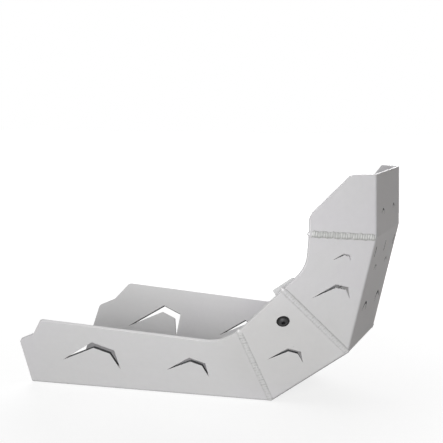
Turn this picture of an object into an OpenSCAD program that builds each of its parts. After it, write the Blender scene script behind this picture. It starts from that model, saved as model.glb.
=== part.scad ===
// Motorcycle skid plate: one folded and welded aluminium sheet with two side brackets.
// +X runs forward, +Y to the left of the machine and +Z up, in millimetres.
// The origin is midway between the two rear fixing holes, on the underside of the bottom.

/* [Folded strip] */
// Width of the strip between its two long fold lines
strip_w = 204; // [170:1:230]
// Length of the flat bottom, up to the belly bend
bottom_l = 390; // [350:1:430]
// Length of the belly slope
slope_l = 140; // [130:1:160]
// Length of the front face
front_l = 174; // [160:1:200]
// Length of the upper lip
lip_l = 90; // [80:1:110]
// Rise of the belly slope above the bottom, in degrees
slope_rise = 35; // [32:1:38]
// Rise of the front face above the bottom, in degrees
front_rise = 77; // [74:1:80]
// Rise of the upper lip above the bottom, in degrees
lip_rise = 91; // [88:1:94]

/* [Sheet] */
// Thickness of the aluminium sheet
sheet_t = 4; // [3:0.5:4.5]
// Inner radius of the bends across the strip
bend_r = 4; // [2:0.5:6]
// Distance from each long fold line to where its bend begins
fold_setback = 3.8; // [3.4:0.1:4.5]
// How far the strip's own bends stop short of where the long folds begin
strip_inset = 0.5; // [0.3:0.1:1]

/* [Wings] */
// Lean of the bottom wing, outward from upright, in degrees
bottom_lean = 34.5; // [32:0.5:37]
// Lean of the belly wing
slope_lean = 36; // [34:0.5:38]
// Lean of the front wing
front_lean = 44; // [42:0.5:46]
// Lean of the lip wing
lip_lean = 44.2; // [43:0.1:46]
// How far the belly seam reaches out beyond the fold line
belly_seam_reach = 81; // [75:1:87]
// How far the front seam reaches out
front_seam_reach = 91.5; // [86:0.5:97]
// How far the lip seam reaches out
lip_seam_reach = 77; // [72:1:82]
// Height of the rear corner of the bottom wing
rear_corner_h = 77.5; // [70:0.5:82]
// How far the rear edge leans forward up to that corner
rear_edge_run = 6.5; // [0:0.5:12]
// Length of the step in front of the rear corner
rear_step_l = 25.8; // [20:0.1:32]
// Rise of that step
rear_step_h = 11.1; // [6:0.1:14]
// Length of the ramp up to the top edge
rear_ramp_l = 21.2; // [16:0.1:28]
// Rise of that ramp
rear_ramp_h = 26.4; // [20:0.1:30]
// Height of the lowest place of the top edge, in front
dip_h = 97; // [90:1:104]
// Distance of that place behind the belly bend
dip_back = 63; // [50:1:75]
// Run of the front wing's lower edge, forward from the front seam
front_edge_run = 28.5; // [24:0.5:32]
// Rise of that edge
front_edge_h = 29.5; // [24:0.5:34]
// Height of the lip wing's upright edge above the lip seam
lip_edge_h = 25; // [15:1:35]
// Length of the lip wing's level top edge
lip_top_run = 29.7; // [20:0.1:40]
// Radii of the three corners at the rear of the bottom wing
rear_radii = [8, 10, 8]; // [4:1:12]
// Radius of the top edge at its lowest place
dip_r = 60; // [30:1:80]
// Radius of the front wing's corner
front_edge_r = 40; // [25:1:50]
// Radii of the lip wing's two corners
lip_radii = [15, 6]; // [4:1:18]

/* [Slits] */
// Sizes of the five wing slits, from the rear; size 1 is 92 mm long
slit_size = [1, 0.7, 0.51, 0.5, 0.245]; // [0.2:0.005:1.05]
// Distance of each slit's back tip in front of the bend that begins its face
slit_run = [68.2, 236.6, 4.8, -41.7, -15.6]; // [-45:0.1:240]
// Height of each slit's back tip above that bend
slit_up = [46.6, 42.4, 71.5, 87, 140.3]; // [40:0.1:145]
// Sizes of the slits in the front face, lower and upper pair, and in the lip
face_slit_size = [0.4, 0.22, 0.25]; // [0.2:0.01:0.5]
// Distance of their outer tips from the middle
face_slit_side = [76, 58, 62.5]; // [55:0.5:80]
// Distance of those tips up the face
face_slit_up = [57, 119, 29]; // [25:1:120]
// Width of the upright slots in the front face
slot_w = 3.5; // [3:0.1:5]
// Height of those slots
slot_h = 16; // [12:1:20]
// Distance of their lower ends up the face
slot_up = 142; // [135:1:144]
// Distance between the slots
slot_pitch = 80; // [60:1:82]

/* [Bottom holes] */
// Distance of the rear fixing holes from the rear edge
rear_hole_inset = 30; // [20:1:40]
// Distance between the rear fixing holes
rear_hole_pitch = 120; // [80:1:150]
// Diameter of the rear fixing holes
rear_hole_d = 9; // [8.5:0.1:10]
// Diameter of the oil drain opening
drain_d = 36; // [28:1:44]
// Distance of the drain opening from the rear edge
drain_run = 205; // [150:1:260]

/* [Welds] */
// Gap that the weld fills, from each wing's edge to the seam
root_gap = 0.2; // [0.1:0.05:0.3]
// Width of the weld beads
weld_w = 8; // [6:0.5:10]
// Height of the beads over the seam
weld_h = 1.1; // [0.8:0.1:1.6]
// Depth of the beads into the sheet
weld_depth = 2.4; // [2:0.1:2.8]
// Distance of the beads' lower ends above the long folds
weld_start = 1; // [0.5:0.1:3]
// Radius of the knob that ends each bead
weld_knob_r = 3.3; // [2.8:0.1:4]

/* [Side screws] */
// Distance of the screw behind the front bend, along the belly wing
screw_back = 35; // [33:1:38]
// Place of the screw up the belly wing from the fold line
screw_up = 111.6; // [109:0.1:113]
// Thread diameter
screw_d = 8; // [6:1:8]
// Length under the head
screw_l = 20; // [18:1:25]
// Diameter of the head's flange
screw_flange_d = 19; // [17:0.5:20]
// Thickness of the head's flange
screw_flange_t = 1.6; // [1:0.1:2]
// Diameter of the domed head
screw_head_d = 14; // [12:0.5:15]
// Height of the head over the sheet
screw_head_h = 4.6; // [4:0.1:5]
// Hex socket across flats
socket_af = 5; // [4:0.5:6]
// Depth of the socket
socket_depth = 2.8; // [2:0.1:3]
// Clearance hole for the screw, in the wing and the bracket
screw_hole_d = 9; // [8.5:0.1:9.5]
// Nut across flats
nut_af = 13; // [12:0.5:14]
// Height of the nut
nut_h = 8; // [6:0.5:9]
// Diameter of the nut's flange
nut_flange_d = 17.8; // [16:0.1:19]
// Thickness of the nut's flange
nut_flange_t = 1.4; // [1:0.1:2]
// Gap between the thread and the nut's bore, on the radius
thread_gap = 0.05; // [0.03:0.01:0.1]

/* [Side brackets] */
// Thickness of the bracket
bracket_t = 4; // [3:0.5:5]
// Inner radius of its bend
bracket_bend_r = 4; // [3:0.5:5]
// Distance from the screw up to the bend
foot_rise = 15.5; // [14.5:0.5:17]
// How far the foot reaches behind the screw
foot_back = 15; // [12:1:17]
// How far the foot reaches in front of the screw
foot_front = 28; // [24:1:29]
// How far the foot reaches below the screw
foot_below = 15.6; // [13:0.1:18]
// Height of the upright arm above the bend
arm_h = 24.6; // [22:0.1:27]
// Distance from the screw forward to the arm's back edge
arm_back = 14.2; // [12:0.1:16]
// Height of that back edge below the arm's top corner
arm_back_h = 10.5; // [8:0.5:12]
// Length of the arm's top edge
arm_top_l = 43; // [38:0.5:44]
// Distance from the screw forward to the mounting hole
arm_hole_run = 27; // [25:0.5:28]
// Height of the mounting hole above the bend
arm_hole_up = 11.4; // [10:0.1:13]
// Diameter of the mounting hole
arm_hole_d = 9; // [8.5:0.1:9.5]
// Radii of the foot's corners: behind, below in front, and in front
foot_radii = [12, 8, 8]; // [6:1:13]
// Radii of the arm's inner and outer corner
arm_radii = [6, 4]; // [2:1:8]

/* [Hidden] */

$fn = 96;
corner_steps = 8;
spare = 1;
half_w = strip_w / 2;
flat_half_w = half_w - fold_setback;
fold_lead = sheet_t;
strip_side = flat_half_w - strip_inset;
join_step = 0.01;
side_depth = 4 * sheet_t;
face_l = [bottom_l, slope_l, front_l, lip_l];
rise = [0, slope_rise, front_rise, lip_rise];
lean = [bottom_lean, slope_lean, front_lean, lip_lean];
reach = [0, belly_seam_reach, front_seam_reach, lip_seam_reach];

// Corner k of the strip's underside in the side view, where face k begins
function corner(k) = k == 0 ? [-rear_hole_inset, 0]
    : corner(k - 1) + face_l[k - 1] * [cos(rise[k - 1]), sin(rise[k - 1])];

// How far the seam between faces k - 1 and k runs in the side view, for each unit outward
function seam_run(k) = let(
    a = rise[k - 1],
    b = rise[k],
    p = 1 / tan(lean[k - 1]),
    q = 1 / tan(lean[k])
) [p * cos(b) - q * cos(a), p * sin(b) - q * sin(a)] / sin(b - a);
function seam_top(k) = corner(k) + reach[k] * seam_run(k);

// A point of the side view, laid on the outer face of wing k: along the face, and up the wing
function on_wing(k, p) = let(d = p - corner(k))
    [d * [cos(rise[k]), sin(rise[k])], d * [-sin(rise[k]), cos(rise[k])] / cos(lean[k])];

// Points of an outline whose corners are rounded, each with its own radius
function unit(v) = v / norm(v);
function turned(v, angle) = [v[0] * cos(angle) - v[1] * sin(angle), v[0] * sin(angle) + v[1] * cos(angle)];
function corner_arc(before, p, after, r) = let(
    u = unit(before - p),
    w = unit(after - p),
    half = acos(u * w) / 2,
    centre = p + unit(u + w) * (r / sin(half)),
    start = p + u * (r / tan(half)) - centre,
    sweep = (180 - 2 * half) * (cross(u, w) > 0 ? -1 : 1)
) [for (i = [0:corner_steps]) centre + turned(start, sweep * i / corner_steps)];
function rounded(pts, radii) = let(n = len(pts)) [
    for (i = [0:n - 1]) each radii[i] == 0 ? [pts[i]]
        : corner_arc(pts[(i + n - 1) % n], pts[i], pts[(i + 1) % n], radii[i])
];

// A point on wing k at height v of the seam that starts at corner j, drawn back by the root gap
function seam_at(k, j, v) = let(base = on_wing(k, corner(j)), top = on_wing(k, seam_top(j)))
    base + (top - base) * v / (top - base)[1] + [j == k ? root_gap : -root_gap, 0];
function seam_end(k, j) = seam_at(k, j, on_wing(k, seam_top(j))[1]);

// Outlines of the four wings, from the long fold up
rear_corner = corner(0) + [rear_edge_run, rear_corner_h];
rear_step = rear_corner + [rear_step_l, rear_step_h];
rear_top = rear_step + [rear_ramp_l, rear_ramp_h];
dip = corner(1) + [-dip_back, dip_h];
front_edge = seam_top(2) + [front_edge_run, front_edge_h];
lip_edge = seam_top(3) + [0, lip_edge_h];
lip_top = corner(3) + lip_l * [cos(lip_rise), sin(lip_rise)] - [lip_top_run, 0];
wing_outline = [
    rounded([
        [0, 0],
        on_wing(0, rear_corner),
        on_wing(0, rear_step),
        on_wing(0, rear_top),
        on_wing(0, dip),
        seam_end(0, 1),
        seam_at(0, 1, 0)
    ], concat(0, rear_radii, dip_r, [0, 0])),
    [
        seam_at(1, 1, 0),
        seam_end(1, 1),
        seam_end(1, 2),
        seam_at(1, 2, 0)
    ],
    rounded([
        seam_at(2, 2, 0),
        seam_end(2, 2),
        on_wing(2, front_edge),
        seam_end(2, 3),
        seam_at(2, 3, 0)
    ], [0, 0, front_edge_r, 0, 0]),
    rounded([
        seam_at(3, 3, 0),
        seam_end(3, 3),
        on_wing(3, lip_edge),
        on_wing(3, lip_top),
        [lip_l, 0]
    ], concat([0, 0], lip_radii, 0))
];
function side_outline(k) = concat(
    wing_outline[k],
    [[face_l[k] - (k == 3 ? 0 : root_gap), -side_depth], [k == 0 ? 0 : root_gap, -side_depth]]
);

// The chevron slit at size 1: a long arm up to the apex, a short arm down, and a hooked tip
chevron = [[0, 0], [59, 36], [92, 24], [92.5, -11.5], [83, 17.5], [59, 26]];

// Places on the strip and on the outer face of its right wings
module on_face(k) {
    translate([corner(k)[0], 0, corner(k)[1]])
        rotate([0, -rise[k], 0]) children();
}
module on_wing_face(k) {
    on_face(k) translate([0, -half_w, 0])
        rotate([90 + lean[k], 0, 0]) children();
}
module both_sides() {
    children();
    mirror([0, 1, 0]) children();
}

// The strip in the side view: underside, then inner face, with its bends
function dir(k) = [cos(rise[k]), sin(rise[k])];
function inner_corner(k) = let(half_bend = (rise[k] - rise[k - 1]) / 2)
    corner(k) + sheet_t * [-sin(rise[k - 1]), cos(rise[k - 1])] - sheet_t * tan(half_bend) * dir(k - 1);
lip_end = corner(3) + lip_l * dir(3);
module strip() {
    translate([0, strip_side, 0]) rotate([90, 0, 0]) linear_extrude(2 * strip_side)
        polygon(rounded(concat(
            [for (k = [0:3]) corner(k)],
            [lip_end, lip_end + sheet_t * [-sin(lip_rise), cos(lip_rise)]],
            [for (k = [3:-1:1]) inner_corner(k)],
            [corner(0) + [0, sheet_t]]
        ), [0, bend_r + sheet_t, bend_r + sheet_t, bend_r + sheet_t, 0, 0, bend_r, bend_r, bend_r, 0]));
}

// The side of face k: its flat edge, the long fold and the wing, trimmed by the outline
module side_section(k) {
    half_turn = (90 - lean[k]) / 2;
    fold_r = fold_setback / tan(half_turn);
    wing_end = [-half_w, 0] + 2 * front_seam_reach * [-sin(lean[k]), cos(lean[k])];
    polygon(rounded([
        [fold_lead - flat_half_w, join_step],
        [-half_w - join_step * tan(lean[k]), join_step],
        wing_end,
        wing_end + sheet_t * [cos(lean[k]), sin(lean[k])],
        [-half_w + sheet_t * tan(half_turn) + join_step * tan(lean[k]), sheet_t - join_step],
        [fold_lead - flat_half_w, sheet_t - join_step]
    ], [0, fold_r, 0, 0, fold_r - sheet_t, 0]));
}
module side_sheet(k) {
    intersection() {
        on_face(k) translate([-face_l[k], 0, 0])
            rotate([90, 0, 90]) linear_extrude(3 * face_l[k]) side_section(k);
        on_wing_face(k) translate([0, 0, -side_depth])
            linear_extrude(side_depth + spare) polygon(side_outline(k));
    }
}

// Weld bead on the seam in front of wing k - 1: Z runs up the seam and Y points out of it
function outward(k) = [sin(lean[k]) * sin(rise[k]), -cos(lean[k]), -sin(lean[k]) * cos(rise[k])];
module on_seam(k) {
    up = unit([seam_run(k)[0], -1, seam_run(k)[1]]);
    out = unit(outward(k - 1) + outward(k));
    side = cross(out, up);
    multmatrix([
        [side[0], out[0], up[0], corner(k)[0]],
        [side[1], out[1], up[1], -half_w],
        [side[2], out[2], up[2], corner(k)[1]]
    ]) children();
}
module weld(k) {
    seam_l = reach[k] * norm([seam_run(k)[0], 1, seam_run(k)[1]]);
    toe = weld_w / 2 * tan(acos(outward(k - 1) * outward(k)) / 2);
    bead_r = (pow(weld_w / 2, 2) + pow(weld_h + toe, 2)) / (2 * (weld_h + toe));
    low = fold_setback + weld_start;
    on_seam(k) {
        translate([0, 0, low]) linear_extrude(seam_l - low) intersection() {
            translate([0, weld_h - bead_r]) circle(bead_r);
            translate([-weld_w, -weld_depth]) square([2 * weld_w, weld_depth + 2 * weld_h]);
        }
        translate([0, -sheet_t / 2, seam_l]) sphere(weld_knob_r);
    }
}

// Cut-outs
module wing_slit(i) {
    k = [0, 0, 1, 2, 2][i];
    tip = corner(k) + [slit_run[i], slit_up[i]];
    on_wing_face(k) translate([0, 0, -sheet_t - spare])
        linear_extrude(sheet_t + 2 * spare)
            polygon([for (p = chevron) on_wing(k, tip + slit_size[i] * p)]);
}
module face_slit(i) {
    on_face([2, 2, 3][i]) translate([face_slit_up[i], -face_slit_side[i], -spare])
        linear_extrude(sheet_t + 2 * spare)
            polygon([for (p = chevron) face_slit_size[i] * [p[1], p[0]]]);
}
module face_slots() {
    for (i = [-1:1])
        on_face(2) translate([slot_up, i * slot_pitch - slot_w / 2, -spare])
            cube([slot_h, slot_w, sheet_t + 2 * spare]);
}
module bottom_holes() {
    for (side = [-1, 1])
        translate([0, side * rear_hole_pitch / 2, -spare])
            cylinder(d = rear_hole_d, h = sheet_t + 2 * spare);
    translate([drain_run - rear_hole_inset, 0, -spare])
        cylinder(d = drain_d, h = sheet_t + 2 * spare);
}

// The screw's axis is Z here, with the wing's outer face at Z = 0
module at_screw() {
    on_wing_face(1) translate([slope_l - screw_back, screw_up, 0]) children();
}

module skid_plate() {
    color([0.78, 0.78, 0.78]) difference() {
        union() {
            strip();
            both_sides() {
                for (k = [0:3]) side_sheet(k);
                for (k = [1:3]) weld(k);
            }
        }
        bottom_holes();
        face_slots();
        both_sides() {
            for (i = [0:len(slit_size) - 1]) wing_slit(i);
            for (i = [0:len(face_slit_size) - 1]) face_slit(i);
            at_screw() translate([0, 0, -sheet_t - spare])
                cylinder(d = screw_hole_d, h = sheet_t + 2 * spare);
        }
    }
}

// Folded bracket: a foot behind the belly wing, a bend, and an upright arm with the mounting hole.
// Its section is extruded along the wing and trimmed by the outlines of the foot and the arm.
bracket_outer_r = bracket_bend_r + bracket_t;
bracket_fold_y = foot_rise + bracket_outer_r * tan(slope_lean / 2);
arm_dir = [cos(slope_lean), -sin(slope_lean)];
module bracket_section() {
    fold_out = [bracket_fold_y, 0];
    fold_in = [bracket_fold_y - bracket_t * tan(slope_lean / 2), -bracket_t];
    arm_end = fold_out + (arm_h + bracket_fold_y - foot_rise + spare) * arm_dir;
    translate([-foot_back - spare, 0, 0])
        rotate([90, 0, 90]) linear_extrude(foot_back + arm_back + arm_top_l + 2 * spare)
            polygon(rounded([
                [-foot_below - spare, 0],
                fold_out,
                arm_end,
                arm_end - bracket_t * [sin(slope_lean), cos(slope_lean)],
                fold_in,
                [-foot_below - spare, -bracket_t]
            ], [0, bracket_outer_r, 0, 0, bracket_bend_r, 0]));
}
module foot_outline() {
    translate([0, 0, -bracket_t - spare]) linear_extrude(bracket_t + 2 * spare)
        polygon(rounded([
            [-foot_back, foot_rise + 2 * spare],
            [-foot_back, -foot_below],
            [foot_front / 2, -foot_below],
            [foot_front, 0],
            [foot_front, foot_rise + 2 * spare]
        ], concat(0, foot_radii, 0)));
}
module at_arm() {
    translate([0, foot_rise, -bracket_outer_r])
        rotate([-slope_lean, 0, 0])
            translate([0, 0, bracket_outer_r - bracket_t - 3 * spare]) children();
}
module arm_outline() {
    at_arm() linear_extrude(bracket_t + 4 * spare)
        polygon(rounded([
            [-foot_back, -bracket_bend_r],
            [-foot_back, 0],
            [arm_back, arm_h - arm_back_h],
            [arm_back, arm_h],
            [arm_back + arm_top_l, arm_h],
            [foot_front, 0],
            [foot_front, -bracket_bend_r]
        ], [0, 0, arm_radii[0], 0, arm_radii[1], 0, 0]));
}
module side_bracket() {
    color([0.72, 0.73, 0.74]) at_screw() translate([0, 0, -sheet_t]) difference() {
        intersection() {
            bracket_section();
            union() {
                foot_outline();
                arm_outline();
            }
        }
        translate([0, 0, -bracket_t - spare]) cylinder(d = screw_hole_d, h = bracket_t + 2 * spare);
        at_arm() translate([arm_hole_run, arm_hole_up, 0]) cylinder(d = arm_hole_d, h = bracket_t + 4 * spare);
    }
}
module side_bracket_right() {
    side_bracket();
}
module side_bracket_left() {
    mirror([0, 1, 0]) side_bracket();
}

// Flanged button-head screw, with its thread as a plain shank
module button_screw() {
    dome_h = screw_head_h - screw_flange_t;
    dome_r = (pow(screw_head_d / 2, 2) + dome_h * dome_h) / (2 * dome_h);
    difference() {
        union() {
            translate([0, 0, -screw_l]) cylinder(d = screw_d, h = screw_l + screw_flange_t);
            cylinder(d1 = screw_flange_d, d2 = screw_flange_d - screw_flange_t, h = screw_flange_t);
            intersection() {
                translate([0, 0, screw_head_h - dome_r]) sphere(dome_r);
                cylinder(d = screw_head_d, h = screw_head_h);
            }
        }
        translate([0, 0, screw_head_h - socket_depth])
            cylinder(d = socket_af / cos(30), h = socket_depth, $fn = 6);
    }
}
module side_screws() {
    color([0.1, 0.1, 0.1]) both_sides() at_screw() button_screw();
}
module side_nuts() {
    color([0.6, 0.6, 0.62]) both_sides() at_screw() translate([0, 0, -sheet_t - bracket_t - nut_h])
        difference() {
            union() {
                cylinder(d = nut_af / cos(30), h = nut_h, $fn = 6);
                translate([0, 0, nut_h - nut_flange_t]) cylinder(d = nut_flange_d, h = nut_flange_t);
            }
            translate([0, 0, -spare]) cylinder(d = screw_d + 2 * thread_gap, h = nut_h + 2 * spare);
        }
}

skid_plate();
side_bracket_right();
side_bracket_left();
side_screws();
side_nuts();
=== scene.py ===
"""Finishes and studio for a folded and welded motorcycle skid plate, in metres."""
import functools
import math
import bpy
from mathutils import Matrix, Vector


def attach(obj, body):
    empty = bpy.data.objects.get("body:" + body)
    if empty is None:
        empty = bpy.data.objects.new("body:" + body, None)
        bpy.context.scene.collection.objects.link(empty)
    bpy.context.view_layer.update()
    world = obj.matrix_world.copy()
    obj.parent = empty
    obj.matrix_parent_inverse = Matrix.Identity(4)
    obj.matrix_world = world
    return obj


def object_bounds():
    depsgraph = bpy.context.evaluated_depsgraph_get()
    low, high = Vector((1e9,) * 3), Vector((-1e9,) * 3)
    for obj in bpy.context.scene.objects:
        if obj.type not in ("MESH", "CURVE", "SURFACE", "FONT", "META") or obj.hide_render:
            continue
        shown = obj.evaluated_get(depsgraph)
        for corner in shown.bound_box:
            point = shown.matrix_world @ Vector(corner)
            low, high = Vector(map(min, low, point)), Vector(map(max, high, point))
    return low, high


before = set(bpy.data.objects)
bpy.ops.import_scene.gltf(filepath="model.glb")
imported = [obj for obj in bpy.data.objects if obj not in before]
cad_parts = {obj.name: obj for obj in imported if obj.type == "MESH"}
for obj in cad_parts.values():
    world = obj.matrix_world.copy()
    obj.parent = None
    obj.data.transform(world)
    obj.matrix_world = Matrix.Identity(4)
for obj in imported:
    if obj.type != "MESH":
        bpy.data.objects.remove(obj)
cad_low, cad_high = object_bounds()

# The folded strip, as in the solids: faces 0 to 3 are the bottom, the belly, the front and the lip
STRIP_WIDTH = 0.204
FACE_LENGTHS = (0.390, 0.140, 0.174, 0.090)
RISES = [math.radians(a) for a in (0, 35, 77, 91)]
LEANS = [math.radians(a) for a in (34.5, 36, 44, 44.2)]
REAR_EDGE_X = -0.030
FOLD_SETBACK = 0.0038
FOLD_RADIUS = 0.009
# Seam k joins wings k - 1 and k: how far it reaches out beyond the fold
SEAM_REACHES = {1: 0.081, 2: 0.0915, 3: 0.077}

# Slits of the right-hand wings: wing, size, and the back tip in front of and above the face's bend
SLIT_LENGTH = 0.092
SLIT_HEIGHT = 0.024
SLIT_REACH = 0.55
WING_SLITS = (
    (0, 1.0, 0.0682, 0.0466),
    (0, 0.7, 0.2366, 0.0424),
    (1, 0.51, 0.0048, 0.0715),
    (2, 0.5, -0.0417, 0.087),
    (2, 0.245, -0.0156, 0.1403),
)
# Openings in the strip: face, reach, and the middle's place to the side and up the face
FACE_CUTS = (
    (2, 0.021, 0.0576, 0.062),
    (2, 0.012, 0.0479, 0.122),
    (3, 0.013, 0.0510, 0.032),
    (2, 0.009, 0.0800, 0.150),
    (2, 0.009, 0.0000, 0.150),
)

# Weld beads: lower end above the fold, upper end below the seam's top, and how the ends taper
BEAD_START = 0.0012
BEAD_STOP = 0.0022
BEAD_TAPER = 0.002
BEAD_END_SIZE = 0.35
# Their mesh: step along the seam, steps across, depth and share of the width of the hidden root
BEAD_STEP = 0.00035
BEAD_ACROSS = 22
BEAD_ROOT = 0.0016
ROOT_SHARE = 0.6
BEAD_SINK = 0.00018
# Their form on each seam, with how far the ripples bow and where in a ripple its crest lies
BEADS = {
    1: {"width": 0.0086, "height": 0.0012, "ripple": 0.00025, "pitch": 0.0051, "wander": 0.0002},
    2: {"width": 0.0086, "height": 0.0012, "ripple": 0.00030, "pitch": 0.0046, "wander": 0.0002},
    3: {"width": 0.0092, "height": 0.0014, "ripple": 0.00050, "pitch": 0.0041, "wander": 0.0005},
}
RIPPLE_BOW = 0.35
RIPPLE_CREST = 0.25
# Their tones: dullness of the ground, painted highlight on the crests, painted shade in the troughs and
# on the lower edge
BEAD_TONES = {
    1: {"dull": 0.42, "crest_highlight": 0.30, "shade": 0.34, "foot": 0.0},
    2: {"dull": 0.42, "crest_highlight": 0.34, "shade": 0.34, "foot": 0.0},
    3: {"dull": 0.90, "crest_highlight": 0.56, "shade": 0.14, "foot": 0.55},
}
# Painted shade line at the beads' toes: its reach, its waver, and how strong it is at the rear toe
TOE_LINE = 0.0006
TOE_WAVER = 0.0011
REAR_TOES = {1: 0.05, 2: 0.30, 3: 1.0}
SEAM_HEAT_REACH = 0.014

# Places on the belly wing, as run along its fold and height up: the screw, a scuff, a patch of painted
# shade
SCREW_SPOT = (0.105, 0.1116)
FLANGE_INNER = 0.0063
SOCKET_REACH = 0.0031
SCUFF_SPOT = (0.0883, 0.0636)
SCUFF_REACH = 0.0016
BELLY_SHADE_SPOT = (0.070, 0.070)
BELLY_SHADE_FADE = (0.05, 0.12)

# How far in the sharp edges are rubbed bright, with a painted highlight on them too
SHEET_ARRIS = 0.0007
BRACKET_ARRIS = 0.0006
FASTENER_ARRIS = 0.0004

# Colours, as linear values
SHEET_GREY = (0.595, 0.588, 0.600)
SHEET_WARM = (0.598, 0.598, 0.586)
SHEET_COOL = (0.592, 0.577, 0.600)
# painted shade: a warmer, darker tone on the front faces of the strip
STRIP_WARM_SHADE = (0.582, 0.561, 0.556)
# painted shade that darkens a broad patch of the belly wing
BELLY_SHADE_GREY = (0.555, 0.550, 0.545)
SCUFF_GREY = (0.42, 0.42, 0.41)
# painted shade for the undersides of the lower folds
FOLD_SHADE_DARK = (0.12, 0.118, 0.115)
# painted shade: the walls of the slits and slots are coloured dark
CUT_SHADE_DARK = (0.035, 0.035, 0.037)
# wear and painted highlight on the sharp edges
ARRIS_WEAR_AND_HIGHLIGHT = (0.78, 0.78, 0.78)
WELD_GREY = (0.565, 0.560, 0.562)
WELD_DULL = (0.42, 0.425, 0.41)
# painted highlight on the crests of the weld ripples
WELD_CREST_HIGHLIGHT = (0.78, 0.78, 0.775)
# painted shade on the lower edge of the beads
WELD_LOWER_SHADE = (0.33, 0.33, 0.315)
# painted shade, for the lines at the beads' toes and the ripples' troughs
TROUGH_AND_TOE_SHADE = (0.22, 0.22, 0.21)
# painted shade: the brackets' greys are set darker than the sheet's, for the shade they stand in
BRACKET_SHADED_MARKS = (0.36, 0.36, 0.365)
BRACKET_SHADED_BASE = (0.41, 0.41, 0.41)
BLACK_OXIDE = (0.014, 0.014, 0.015)
OXIDE_WORN = (0.046, 0.046, 0.046)
# wear and painted highlight on the screws' edges
OXIDE_RIM_WEAR_AND_HIGHLIGHT = (0.14, 0.14, 0.14)
# painted shade for the flange and the socket of the screws
OXIDE_PAINTED_SHADE = (0.003, 0.003, 0.003)
ZINC = (0.62, 0.63, 0.65)
ZINC_BLUE = (0.55, 0.56, 0.60)
FLOOR_PALE = (0.26, 0.26, 0.26)
FLOOR_GREY = (0.24, 0.24, 0.24)

# Camera
EYE = Vector((0.7978, -1.7465, 0.4488))
YAW = math.radians(17.40)
PITCH = math.radians(6.09)
ROLL = math.radians(0.17)
LENS = 95.32
SENSOR = 36.0
VIEW_DEPTH = 50

# Lamps: place, width, height and power; all turned towards the same point
LAMPS = {
    "key": ((0.56, -2.4, 0.36), 1.2, 0.8, 66),
    "fill": ((-0.6, 2.4, 0.7), 2.0, 1.4, 56),
    "top": ((-0.1, 0.0, 2.4), 2.0, 2.0, 12),
}
AIM = Vector((0.24, 0.0, 0.12))
WORLD_LIGHT = 0.06

# The floor's own white: its strength near the plate, and where it rises to full
NEAR_GLOW = 0.79
GLOW_RISE = (0.45, 1.5)
FLOOR_REACH = 12.0
FLOOR_GAP = 0.0002


class Term:
    """A shader socket that can be used in sums and products."""

    def __init__(self, graph, socket):
        self.graph = graph
        self.socket = socket

    def _math(self, operation, first, second=0.0):
        return self.graph.node("ShaderNodeMath", {"operation": operation}, {0: first, 1: second})

    def __add__(self, other):
        return self._math("ADD", self, other)

    def __radd__(self, other):
        return self._math("ADD", other, self)

    def __sub__(self, other):
        return self._math("SUBTRACT", self, other)

    def __rsub__(self, other):
        return self._math("SUBTRACT", other, self)

    def __mul__(self, other):
        return self._math("MULTIPLY", self, other)

    def __rmul__(self, other):
        return self._math("MULTIPLY", other, self)

    def __truediv__(self, other):
        return self._math("DIVIDE", self, other)

    def at_least(self, other):
        return self._math("MAXIMUM", self, other)

    def at_most(self, other):
        return self._math("MINIMUM", self, other)

    def size(self):
        return self._math("ABSOLUTE", self)

    def wave(self):
        """1 at whole numbers and 0 halfway between them."""
        return 0.5 + 0.5 * self._math("COSINE", self * math.tau)


def highest(masks):
    """The highest of several masks at each point."""
    return functools.reduce(Term.at_least, masks)


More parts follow.
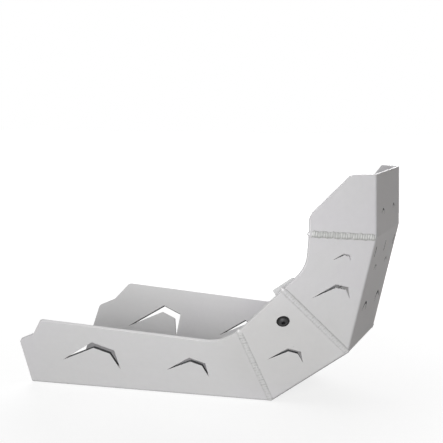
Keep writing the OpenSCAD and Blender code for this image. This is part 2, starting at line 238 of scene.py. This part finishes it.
class Graph:
    """A node tree, and the nodes that its shaders are built from."""

    def __init__(self, tree):
        self.tree = tree

    def plug(self, socket, value):
        if isinstance(value, Term):
            self.tree.links.new(value.socket, socket)
        else:
            socket.default_value = value

    def node(self, kind, settings=None, inputs=None, output=0):
        made = self.tree.nodes.new(kind)
        for name, value in (settings or {}).items():
            setattr(made, name, value)
        for name, value in (inputs or {}).items():
            self.plug(made.inputs[name], value)
        return Term(self, made.outputs[output])

    def vector(self, operation, first, second=(0, 0, 0)):
        return self.node("ShaderNodeVectorMath", {"operation": operation}, {0: first, 1: second})

    def number(self, operation, first, second=(0, 0, 0)):
        """A vector operation that gives a number."""
        return self.node("ShaderNodeVectorMath", {"operation": operation}, {0: first, 1: second}, "Value")

    def place(self):
        return self.node("ShaderNodeTexCoord", output="Object")

    def mirror(self):
        """Minus the sign of y as the y factor of a vector, and 1 for the other two."""
        at = self.place()
        signs = self.vector("DIVIDE", at, self.vector("ABSOLUTE", at))
        return self.vector("ADD", self.vector("MULTIPLY", signs, (0, -1, 0)), (1, 0, 1))

    def right_place(self):
        """The place, with the left half of the part laid over the right."""
        return self.vector("MULTIPLY", self.place(), self.mirror())

    def right_normal(self):
        """The face's normal, laid over the right half in the same way."""
        normal = self.node("ShaderNodeNewGeometry", output="Normal")
        return self.vector("MULTIPLY", normal, self.mirror())

    def noise(self, scale, detail=2.0, roughness=0.5, stretch=(1, 1, 1)):
        at = self.vector("MULTIPLY", self.place(), stretch)
        inputs = {"Vector": at, "Scale": scale, "Detail": detail, "Roughness": roughness}
        return self.node("ShaderNodeTexNoise", inputs=inputs, output="Fac")

    def between(self, value, low, high):
        """0 at low, 1 at high, and smooth between them."""
        inputs = {0: value, 1: low, 2: high, 3: 0.0, 4: 1.0}
        return self.node("ShaderNodeMapRange", {"interpolation_type": "SMOOTHSTEP"}, inputs)

    def within(self, value, low, high):
        """1 at low, 0 at high, and smooth between them."""
        return 1.0 - self.between(value, low, high)

    def blend(self, factor, first, second, kind="MIX"):
        inputs = {0: factor}
        for index, colour in ((6, first), (7, second)):
            inputs[index] = colour if isinstance(colour, Term) else (*colour, 1.0)
        return self.node("ShaderNodeMix", {"data_type": "RGBA", "blend_type": kind}, inputs, output=2)

    def coats(self, ground, *layers):
        """A ground colour with layers over it, each a mask and a colour."""
        for mask, colour in layers:
            ground = self.blend(mask, ground, colour)
        return ground

    def grey(self, value):
        return self.node("ShaderNodeCombineColor", inputs={0: value, 1: value, 2: value})

    def seen_directly(self):
        """1 for rays from the camera and for the images that metal and glass show."""
        rays = ("Is Camera Ray", "Is Glossy Ray", "Is Transmission Ray")
        return highest([self.node("ShaderNodeLightPath", output=ray) for ray in rays])


class Finish(Graph):
    """A material with its Principled shader."""

    def __init__(self, name, **constants):
        self.material = bpy.data.materials.new(name)
        self.material.use_nodes = True
        super().__init__(self.material.node_tree)
        self.surface = self.tree.nodes["Principled BSDF"]
        self.set(**constants)

    def set(self, **sockets):
        for socket, value in sockets.items():
            self.plug(self.surface.inputs[socket.replace("_", " ")], value)

    def arris(self, radius):
        """The normal rounded at sharp edges, and how far it turns there."""
        rounded = self.node("ShaderNodeBevel", {"samples": 6}, {"Radius": radius})
        plain = self.node("ShaderNodeNewGeometry", output="Normal")
        turned = 1.0 - self.number("DOT_PRODUCT", rounded, plain)
        return rounded, self.between(turned, 0.004, 0.16)

    def bump(self, height, distance, normal=None):
        inputs = {"Distance": distance, "Height": height}
        if normal is not None:
            inputs["Normal"] = normal
        return self.node("ShaderNodeBump", inputs=inputs)


def direction(rise):
    return Vector((math.cos(rise), 0, math.sin(rise)))


def face_normal(k):
    """The outward normal of the strip's face k."""
    return Vector((math.sin(RISES[k]), 0, -math.cos(RISES[k])))


def corner(k):
    """The strip's corner k on the right-hand fold line."""
    at = Vector((REAR_EDGE_X, -STRIP_WIDTH / 2, 0))
    for length, rise in zip(FACE_LENGTHS[:k], RISES[:k]):
        at += length * direction(rise)
    return at


def outward(k):
    """The outward normal of the right-hand wing on face k."""
    return math.sin(LEANS[k]) * face_normal(k) - Vector((0, math.cos(LEANS[k]), 0))


def wing_spot(k, run, up):
    """A place on the right-hand wing k: run along its fold, height up the wing."""
    climb = -math.cos(LEANS[k]) * face_normal(k) - Vector((0, math.sin(LEANS[k]), 0))
    return corner(k) + run * direction(RISES[k]) + up * climb


def seam_top(k):
    """The upper end of the seam between wings k - 1 and k."""
    along = outward(k - 1).cross(outward(k))
    along *= -1 / along.y
    return corner(k) + SEAM_REACHES[k] * along


def seam_frame(k):
    """Unit vectors along the seam, out of it, and across it towards the front."""
    along = (seam_top(k) - corner(k)).normalized()
    out = (outward(k - 1) + outward(k)).normalized()
    flank = along.cross(out)
    return along, out, flank * math.copysign(1, flank.z)


def painted_toe_shade(finish, k, share, front):
    """1 on the wavering lines of painted shade at the toes of seam k's bead: share along the seam,
    distance in front.
    """
    waver = TOE_WAVER * (finish.noise(240.0) - 0.5)
    patches = finish.between(finish.noise(38.0, detail=1.0), 0.40, 0.58)
    off_toe = (front.size() - (BEADS[k]["width"] / 2 + waver)).size()
    line = finish.within(off_toe, TOE_LINE / 3, TOE_LINE) * (0.45 + 0.55 * patches)
    line = line * finish.between(share, 0.03, 0.06) * finish.within(share, 0.95, 0.98)
    return line * (REAR_TOES[k] + (1.0 - REAR_TOES[k]) * finish.between(front, -0.001, 0.001))


def seam_marks(finish):
    """Two masks: the warmed metal round the weld seams, and the painted shade lines at the beads' toes.
    """
    heat = []
    toes = []
    for k in SEAM_REACHES:
        along = seam_top(k) - corner(k)
        flank = outward(k).cross(along).normalized()
        flank *= math.copysign(1, flank.z)
        offset = finish.vector("SUBTRACT", finish.right_place(), corner(k))
        share = finish.number("DOT_PRODUCT", offset, along / along.length_squared)
        foot = finish.node("ShaderNodeVectorMath", {"operation": "SCALE"}, {
            0: along,
            "Scale": share.at_least(0.0).at_most(1.0),
        })
        apart = finish.number("DISTANCE", offset, foot)
        heat.append(finish.within(apart, 0.2 * SEAM_HEAT_REACH, SEAM_HEAT_REACH))
        toes.append(painted_toe_shade(finish, k, share, finish.number("DOT_PRODUCT", offset, flank)))
    return highest(heat), highest(toes)


def cuts():
    """Middle, face normal and reach of each opening in the right-hand half of the sheet."""
    found = []
    for k, size, run, up in WING_SLITS:
        ahead = run + size * SLIT_LENGTH / 2
        above = up + size * SLIT_HEIGHT / 2
        climb = above * math.cos(RISES[k]) - ahead * math.sin(RISES[k])
        middle = corner(k) + Vector((ahead, -climb * math.tan(LEANS[k]), above))
        found.append((middle, outward(k), SLIT_REACH * size * SLIT_LENGTH))
    for k, reach, side, up in FACE_CUTS:
        middle = corner(k) + up * direction(RISES[k]) + Vector((0, STRIP_WIDTH / 2 - side, 0))
        found.append((middle, face_normal(k), reach))
    return found


def painted_cut_shade(finish):
    """1 on the walls of the slits and slots, which are coloured dark as painted shade."""
    walls = []
    for middle, outer, reach in cuts():
        facing = finish.number("DOT_PRODUCT", finish.right_normal(), outer).size()
        near = around(finish, middle, 0.93 * reach, reach)
        walls.append(near * finish.within(facing, 0.2, 0.4))
    return highest(walls)


def sideways(finish):
    """How far the face's normal leans to the side, from 0 to 1."""
    return finish.number("DOT_PRODUCT", finish.right_normal(), (0, 1, 0)).size()


def painted_fold_shade(finish):
    """1 on the underside of the lower folds of the bottom and the belly, coloured darker there as painted
    shade.
    """
    lines = []
    for k in (0, 1):
        turned = finish.number("DOT_PRODUCT", finish.right_normal(), face_normal(k))
        lines.append(finish.between(turned, 0.82, 0.90) * finish.within(turned, 0.985, 0.997))
    return highest(lines) * finish.between(sideways(finish), 0.04, 0.12)


def strip_faces(finish):
    """1 on the outer side of the faces between the two folds, which get a warmer, darker painted shade.
    """
    outer = finish.number("DOT_PRODUCT", finish.right_normal(), (0.8, 0, -0.6))
    return finish.within(sideways(finish), 0.15, 0.45) * finish.between(outer, 0.1, 0.4)


def around(finish, spot, inner, outer):
    """1 within the inner distance of a spot, 0 beyond the outer one."""
    return finish.within(finish.number("DISTANCE", finish.right_place(), spot), inner, outer)


def blasted_sheet():
    """Satin aluminium sheet: blasted grain, faint rolling marks, arrises brightened by wear and painted
    highlight, and heat-toned seams.
    """
    finish = Finish("blasted_sheet", Metallic=0.14, Specular_IOR_Level=0.15)
    tone = finish.between(finish.noise(5.0, detail=3.0), 0.35, 0.65)
    mottle = finish.noise(120.0, detail=4.0, roughness=0.6)
    rolling = finish.noise(60.0, detail=3.0, stretch=(0.05, 1.0, 1.0))
    grain = finish.noise(1400.0, roughness=0.7)
    belly_shade = around(finish, wing_spot(1, *BELLY_SHADE_SPOT), *BELLY_SHADE_FADE)
    scuff = around(finish, wing_spot(1, *SCUFF_SPOT), 0.3 * SCUFF_REACH, SCUFF_REACH)
    heat, toes = seam_marks(finish)
    rounded, edge = finish.arris(SHEET_ARRIS)
    ground = finish.coats(
        finish.blend(0.45, SHEET_GREY, finish.blend(tone, SHEET_COOL, SHEET_WARM)),
        # painted shade over a broad patch of the belly wing
        (0.8 * belly_shade, BELLY_SHADE_GREY),
        # painted shade on the front faces of the strip
        (strip_faces(finish), STRIP_WARM_SHADE),
        # painted shade on the underside of the lower folds
        (0.9 * painted_fold_shade(finish), FOLD_SHADE_DARK),
        (0.5 * scuff, SCUFF_GREY),
    )
    shade = finish.grey(0.955 + 0.06 * mottle + 0.03 * rolling)
    finish.set(
        Base_Color=finish.coats(
            finish.blend(1.0, ground, shade, "MULTIPLY"),
            (0.30 * heat, WELD_GREY),
            # painted shade lines at the beads' toes
            (0.42 * toes, TROUGH_AND_TOE_SHADE),
            # wear and painted highlight on the sharp edges
            (0.55 * edge, ARRIS_WEAR_AND_HIGHLIGHT),
            # painted shade on the walls of the slits and slots
            (painted_cut_shade(finish), CUT_SHADE_DARK),
        ),
        Roughness=0.50 + 0.10 * (mottle - 0.5) - 0.12 * edge,
        Normal=finish.bump(grain + 0.6 * mottle, 0.00012, rounded),
    )
    return finish.material


def weld_metal(k):
    """Weld metal of seam k's beads: painted highlight on the crests and painted shade in the troughs, in
    patches, on a duller ground.
    """
    form = BEADS[k]
    tones = BEAD_TONES[k]
    along, _, flank = seam_frame(k)
    finish = Finish(f"weld_metal_{k}", Metallic=0.20, Specular_IOR_Level=0.4)
    offset = finish.vector("SUBTRACT", finish.right_place(), corner(k))
    run = finish.number("DOT_PRODUCT", offset, along)
    across = finish.number("DOT_PRODUCT", offset, flank / (form["width"] / 2))
    streak = finish.noise(420.0, detail=3.0, roughness=0.6)
    patch = finish.between(finish.noise(55.0), 0.42, 0.60)
    crest = (run / form["pitch"] + RIPPLE_BOW * across * across + 0.5 * finish.noise(90.0)).wave()
    trough = 1.0 - crest
    middle = finish.within(across.size(), 0.62, 0.95)
    colour = finish.coats(
        WELD_GREY,
        (tones["dull"] * (1.0 - 0.35 * streak), WELD_DULL),
        # painted highlight on the ripples' crests
        (crest * crest * (0.06 + tones["crest_highlight"] * patch) * middle, WELD_CREST_HIGHLIGHT),
        # painted shade in the ripples' troughs
        (trough * trough * trough * (0.04 + tones["shade"] * patch), TROUGH_AND_TOE_SHADE),
        # painted shade on the lower edge of the bead
        (tones["foot"] * finish.within(across, -0.75, -0.2), WELD_LOWER_SHADE),
    )
    finish.set(
        Base_Color=colour,
        Roughness=0.50 - 0.12 * crest,
        Normal=finish.bump(streak + crest, 0.0002),
    )
    return finish.material


def satin_bracket():
    """Satin aluminium of the brackets, with fine marks along the flat bar, coloured darker than the sheet
    as painted shade.
    """
    finish = Finish("satin_bracket", Metallic=0.15, Specular_IOR_Level=0.3)
    marks = finish.noise(260.0, detail=3.0, stretch=(0.12, 1.0, 1.0))
    grain = finish.noise(1300.0)
    rounded, edge = finish.arris(BRACKET_ARRIS)
    finish.set(
        # wear and painted highlight on the brackets' edges
        Base_Color=finish.coats(BRACKET_SHADED_BASE, (marks, BRACKET_SHADED_MARKS), (0.5 * edge, ARRIS_WEAR_AND_HIGHLIGHT)),
        Roughness=0.50 + 0.10 * marks,
        Normal=finish.bump(grain + marks, 0.0001, rounded),
    )
    return finish.material


def black_screw():
    """Black oxide on the screws: darker on the flange and in the socket as painted shade, rubbed on the
    dome.
    """
    finish = Finish("black_oxide", Metallic=0.30, Specular_IOR_Level=0.35)
    haze = finish.noise(500.0, detail=3.0)
    rounded, edge = finish.arris(FASTENER_ARRIS)
    offset = finish.vector("SUBTRACT", finish.right_place(), wing_spot(1, *SCREW_SPOT))
    radius = finish.number("LENGTH", finish.vector("CROSS_PRODUCT", offset, outward(1)))
    flange = finish.between(radius, FLANGE_INNER, FLANGE_INNER + 0.0006)
    socket = finish.within(radius, SOCKET_REACH - 0.0004, SOCKET_REACH)
    finish.set(
        Base_Color=finish.coats(
            BLACK_OXIDE,
            (haze, OXIDE_WORN),
            # wear and painted highlight on the screw head's edges
            (0.5 * edge * (1.0 - flange), OXIDE_RIM_WEAR_AND_HIGHLIGHT),
            # painted shade on the flange and in the socket
            (0.95 * flange.at_least(socket), OXIDE_PAINTED_SHADE),
        ),
        Roughness=0.46 + 0.14 * haze,
        Normal=finish.bump(haze, 0.00006, rounded),
    )
    return finish.material


def zinc_nut():
    """Zinc plate on the nuts, with a faint blue bloom."""
    finish = Finish("zinc_plate", Metallic=0.85, Specular_IOR_Level=0.5)
    bloom = finish.noise(300.0, detail=3.0)
    rounded, edge = finish.arris(FASTENER_ARRIS)
    finish.set(
        # wear and painted highlight on the nuts' edges
        Base_Color=finish.coats(ZINC, (bloom, ZINC_BLUE), (0.4 * edge, ARRIS_WEAR_AND_HIGHLIGHT)),
        Roughness=0.34 + 0.16 * bloom,
        Normal=finish.bump(bloom, 0.00006, rounded),
    )
    return finish.material


def finish_solids():
    """Gives each solid of the part its finish."""
    bracket = satin_bracket()
    finishes = {
        "skid_plate": blasted_sheet(),
        "side_bracket_right": bracket,
        "side_bracket_left": bracket,
        "side_screws": black_screw(),
        "side_nuts": zinc_nut(),
    }
    for name, material in finishes.items():
        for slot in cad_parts[name].material_slots:
            slot.material = material


def closed_strip(name, rows):
    """A closed mesh from equal rows of points, each row a ring, with the ends capped."""
    across = len(rows[0])
    points = [p for row in rows for p in row]
    faces = []
    for i in range(len(rows) - 1):
        for j in range(across):
            a = i * across + j
            b = i * across + (j + 1) % across
            faces.append((a, b, b + across, a + across))
    faces.append(tuple(range(across))[::-1])
    last = (len(rows) - 1) * across
    faces.append(tuple(range(last, last + across)))
    mesh = bpy.data.meshes.new(name)
    mesh.from_pydata(points, [], faces)
    mesh.validate()
    piece = bpy.data.objects.new(name, mesh)
    bpy.context.collection.objects.link(piece)
    return piece


def saw(x):
    """One ripple: a quick rise to its crest and a long slope down."""
    part = x % 1.0
    if part < RIPPLE_CREST:
        return part / RIPPLE_CREST
    return (1 - part) / (1 - RIPPLE_CREST)


def bead_row(k, run, length):
    """The bead's cross-section at one place along seam k, as a ring of points on the right-hand side."""
    form = BEADS[k]
    along, out, flank = seam_frame(k)
    tilt = math.acos(outward(k - 1).dot(outward(k))) / 2
    half = form["width"] / 2
    drop = max(0.0, FOLD_SETBACK - run) ** 2 / (2 * FOLD_RADIUS)
    foot = corner(k) + run * along - out * drop
    from_end = min(run - BEAD_START, length - run)
    end_fade = min(1.0, from_end / BEAD_TAPER + BEAD_END_SIZE)
    drift = form["wander"] * (math.sin(run * 410 + k) + 0.6 * math.sin(run * 973 + 2 * k))
    swell = 1 + 0.06 * math.sin(run * 655 + 3 * k)
    row = []
    for j in range(BEAD_ACROSS + 1):
        w = 2 * j / BEAD_ACROSS - 1
        crest = math.sqrt(max(0.0, 1 - w * w))
        phase = run / form["pitch"] + RIPPLE_BOW * w * w + 0.08 * math.sin(run * 720)
        ripple = form["ripple"] * saw(phase) * crest
        height = (form["height"] * crest * swell + ripple - BEAD_SINK) * end_fade
        reach = w * half * swell
        at = foot + flank * (reach * math.cos(tilt) + drift)
        row.append(at + out * (height - abs(reach) * math.sin(tilt)))
    for hand in (1, -1):
        row.append(foot + flank * (hand * half * ROOT_SHARE + drift) - out * BEAD_ROOT)
    return row


def weld_bead(k, side, material):
    """The rippled bead on seam k; side is -1 on the right and 1 on the left."""
    length = (seam_top(k) - corner(k)).length - BEAD_STOP
    steps = int((length - BEAD_START) / BEAD_STEP)
    rows = []
    for i in range(steps + 1):
        row = bead_row(k, BEAD_START + (length - BEAD_START) * i / steps, length)
        rows.append([Vector((p.x, -side * p.y, p.z)) for p in row])
    if side > 0:
        rows = [row[::-1] for row in rows]
    piece = closed_strip(f"weld_bead_{k}_{'left' if side > 0 else 'right'}", rows)
    for face in piece.data.polygons:
        face.use_smooth = True
    piece.data.materials.append(material)
    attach(piece, "root")


def weld_beads():
    for k in SEAM_REACHES:
        material = weld_metal(k)
        for side in (-1, 1):
            weld_bead(k, side, material)


def camera():
    """The photograph's view: a long lens low beside the machine, looking slightly down."""
    right = Vector((math.cos(YAW), math.sin(YAW), 0))
    ahead = Vector((-math.sin(YAW) * math.cos(PITCH), math.cos(YAW) * math.cos(PITCH), -math.sin(PITCH)))
    up = right.cross(ahead)
    across = math.cos(ROLL) * right + math.sin(ROLL) * up
    upright = math.cos(ROLL) * up - math.sin(ROLL) * right
    data = bpy.data.cameras.new("view")
    data.lens = LENS
    data.sensor_width = SENSOR
    data.sensor_fit = "HORIZONTAL"
    data.clip_end = VIEW_DEPTH
    rig = bpy.data.objects.new("view", data)
    turn = Matrix((across, upright, -ahead)).transposed().to_4x4()
    rig.matrix_world = Matrix.Translation(EYE) @ turn
    bpy.context.collection.objects.link(rig)
    bpy.context.scene.camera = rig


def softbox(name, place, width, height, power):
    """A rectangular area lamp turned towards the plate."""
    data = bpy.data.lights.new(name, "AREA")
    data.shape = "RECTANGLE"
    data.size = width
    data.size_y = height
    data.energy = power
    lamp = bpy.data.objects.new(name, data)
    lamp.location = place
    lamp.rotation_euler = (AIM - Vector(place)).to_track_quat("-Z", "Y").to_euler()
    bpy.context.collection.objects.link(lamp)


def floor():
    """A pale floor that shows white except in the plate's shadow."""
    finish = Finish("pale_floor", Roughness=0.9, Specular_IOR_Level=0.1, Emission_Strength=1.0)
    away = finish.number("LENGTH", finish.place())
    glow = NEAR_GLOW + (1.0 - NEAR_GLOW) * finish.between(away, *GLOW_RISE)
    finish.set(
        Base_Color=finish.blend(finish.noise(9.0), FLOOR_GREY, FLOOR_PALE),
        Emission_Color=finish.grey(finish.seen_directly() * glow),
    )
    mesh = bpy.data.meshes.new("floor")
    corners = ((-1, -1), (1, -1), (1, 1), (-1, 1))
    points = [(x * FLOOR_REACH, y * FLOOR_REACH, cad_low.z - FLOOR_GAP) for x, y in corners]
    mesh.from_pydata(points, [], [(0, 1, 2, 3)])
    mesh.materials.append(finish.material)
    ground = bpy.data.objects.new("floor", mesh)
    bpy.context.collection.objects.link(ground)


def surroundings():
    """Even soft light all round, and white behind the plate."""
    world = bpy.data.worlds.new("studio")
    bpy.context.scene.world = world
    world.use_nodes = True
    graph = Graph(world.node_tree)
    backdrop = graph.tree.nodes["Background"].inputs
    backdrop["Color"].default_value = (1, 1, 1, 1)
    graph.plug(backdrop["Strength"], WORLD_LIGHT + (1.0 - WORLD_LIGHT) * graph.seen_directly())


def studio():
    for name, (place, width, height, power) in LAMPS.items():
        softbox(name, place, width, height, power)
    floor()
    surroundings()
    bpy.context.scene.view_settings.view_transform = "Standard"


finish_solids()
weld_beads()
camera()
studio()
